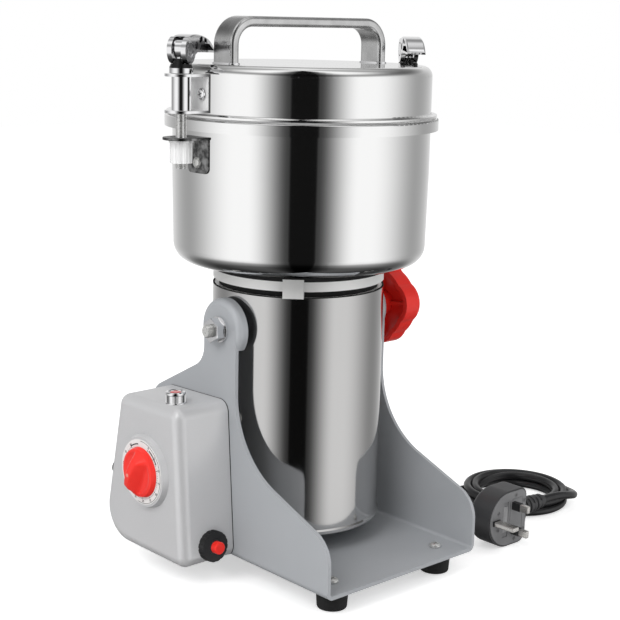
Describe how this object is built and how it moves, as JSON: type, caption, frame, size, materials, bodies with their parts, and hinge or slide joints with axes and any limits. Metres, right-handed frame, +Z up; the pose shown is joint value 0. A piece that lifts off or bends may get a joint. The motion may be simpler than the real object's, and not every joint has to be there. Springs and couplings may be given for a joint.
{
  "type": "electric grain mill",
  "caption": "Swing type electric grain mill: tilting motor and steel grinding bowl in a U-shaped frame, latched swing lid, side control box with timer, mains lead and plug.",
  "frame": {"origin": "middle of the mill's footprint, measured without its lead, on the surface it stands on", "axes": "+Z up, -Y towards the open side where the bowl tips out, -X towards the control box"},
  "size_m": [0.4482, 0.2778, 0.446],
  "materials": {
    "frame_sheet": "satin silver coating on bent steel sheet",
    "box_shell": "satin silver coating on a cast cover",
    "polished_steel": "polished stainless steel",
    "drawn_tube": "fine turned stainless steel",
    "chromed_fittings": "bright chrome plating",
    "screw_steel": "zinc plated steel",
    "light_alloy": "as cast, turned outside",
    "inner_steel": "lacquered laminations and plain steel",
    "copper": "enamelled copper wire and strip",
    "carbon": "pressed carbon",
    "black_rubber": "moulded, matt",
    "seal_rubber": "pale food grade silicone",
    "black_plastic": "moulded, matt",
    "red_plastic": "moulded, glossy",
    "red_lens": "clear red, glossy",
    "dial_print": "white with black marks",
    "plug_plastic": "moulded, dark grey, fine satin",
    "pin_metal": "nickel plated brass",
    "cord_sheath": "black PVC sheath"
  },
  "bodies": {
    "base": {"u_frame": "frame_sheet", "rubber_feet": "black_rubber", "frame_screws": "screw_steel", "pivot_bushes": "black_plastic", "control_box": "box_shell", "dial_plate": "dial_print", "timer_body": "black_plastic", "protector_body": "black_plastic", "protector_nut": "black_plastic", "lamp_bezel": "chromed_fittings", "lamp_lens": "red_lens", "cord_gland": "black_plastic", "power_cord": "cord_sheath", "cord_coil": "cord_sheath", "cord_tail": "cord_sheath", "plug_body": "plug_plastic", "plug_pins": "pin_metal"},
    "tilt_unit": {"motor_shell": "drawn_tube", "bottom_cover": "frame_sheet", "lower_end_frame": "light_alloy", "upper_end_frame": "light_alloy", "stator_core": "inner_steel", "field_coils": "copper", "brush_holders": "copper", "carbon_brushes": "carbon", "bearings": "inner_steel", "pivot_stud": "chromed_fittings", "pivot_nut": "chromed_fittings", "bowl": "polished_steel", "left_bowl_bracket": "chromed_fittings", "right_bowl_bracket": "chromed_fittings", "bracket_rivets": "screw_steel"},
    "rotor": {"rotor_shaft": "inner_steel", "armature": "inner_steel", "commutator": "copper", "cooling_fan": "black_plastic", "lower_blade": "polished_steel", "upper_blade": "polished_steel", "blade_nut": "polished_steel"},
    "lid": {"lid": "polished_steel", "lid_seal": "seal_rubber", "handle": "chromed_fittings", "left_lid_bracket": "chromed_fittings", "right_lid_bracket": "chromed_fittings", "lid_bracket_screws": "screw_steel", "left_latch_rod": "chromed_fittings", "left_latch_collar": "chromed_fittings", "left_latch_saddle": "black_plastic", "right_latch_rod": "chromed_fittings", "right_latch_collar": "chromed_fittings", "right_latch_saddle": "black_plastic"},
    "left_lever": {"left_lever": "chromed_fittings"},
    "right_lever": {"right_lever": "chromed_fittings"},
    "left_latch_nut": {"left_latch_nut": "chromed_fittings"},
    "right_latch_nut": {"right_latch_nut": "chromed_fittings"},
    "clamp_washer": {"clamp_washer": "screw_steel"},
    "star_knob": {"star_knob": "red_plastic", "knob_stud": "screw_steel"},
    "timer_knob": {"timer_knob": "red_plastic"},
    "reset_button": {"reset_button": "red_plastic"}
  },
  "joints": [
    {"name": "tilt", "type": "hinge", "parent": "base", "child": "tilt_unit", "pos_m": [0.0096, 0.0108, 0.203], "axis": [1, 0, 0], "range_deg": [0, 105]},
    {"name": "rotor_spin", "type": "hinge", "parent": "tilt_unit", "child": "rotor", "pos_m": [0.0096, 0.0108, 0.13], "axis": [0, 0, 1], "continuous": true},
    {"name": "lid_swing", "type": "hinge", "parent": "tilt_unit", "child": "lid", "pos_m": [-0.1114, 0.0108, 0.388], "axis": [0, 0, 1], "range_deg": [0, 110]},
    {"name": "left_lever_lift", "type": "hinge", "parent": "lid", "child": "left_lever", "pos_m": [-0.1114, 0.0108, 0.421], "axis": [0.5, -0.866, 0], "range_deg": [0, 120]},
    {"name": "right_lever_lift", "type": "hinge", "parent": "lid", "child": "right_lever", "pos_m": [0.1306, 0.0108, 0.421], "axis": [-0.788, 0.6157, 0], "range_deg": [0, 120]},
    {"name": "left_nut_turn", "type": "hinge", "parent": "lid", "child": "left_latch_nut", "pos_m": [-0.1114, 0.0108, 0.345], "axis": [0, 0, 1], "continuous": true},
    {"name": "right_nut_turn", "type": "hinge", "parent": "lid", "child": "right_latch_nut", "pos_m": [0.1306, 0.0108, 0.345], "axis": [0, 0, 1], "continuous": true},
    {"name": "clamp_slide", "type": "slide", "parent": "tilt_unit", "child": "clamp_washer", "axis": [1, 0, 0], "range_m": [0, 0.0023]},
    {"name": "star_knob_turn", "type": "hinge", "parent": "clamp_washer", "child": "star_knob", "pos_m": [0.1096, 0.0108, 0.203], "axis": [-1, 0, 0], "range_deg": [0, 540]},
    {"name": "timer_turn", "type": "hinge", "parent": "base", "child": "timer_knob", "pos_m": [-0.1354, 0.0398, 0.0887], "axis": [-1, 0, 0], "range_deg": [0, 300]},
    {"name": "reset_press", "type": "slide", "parent": "base", "child": "reset_button", "axis": [0, 0.9973, -0.0734], "range_m": [0, 0.003], "stiffness_N_per_m": 300, "springref_m": -0.001}
  ],
  "couplings": [
    {"joint": "clamp_slide", "follows": "star_knob_turn", "m_per_rad": 0.00023873}
  ]
}
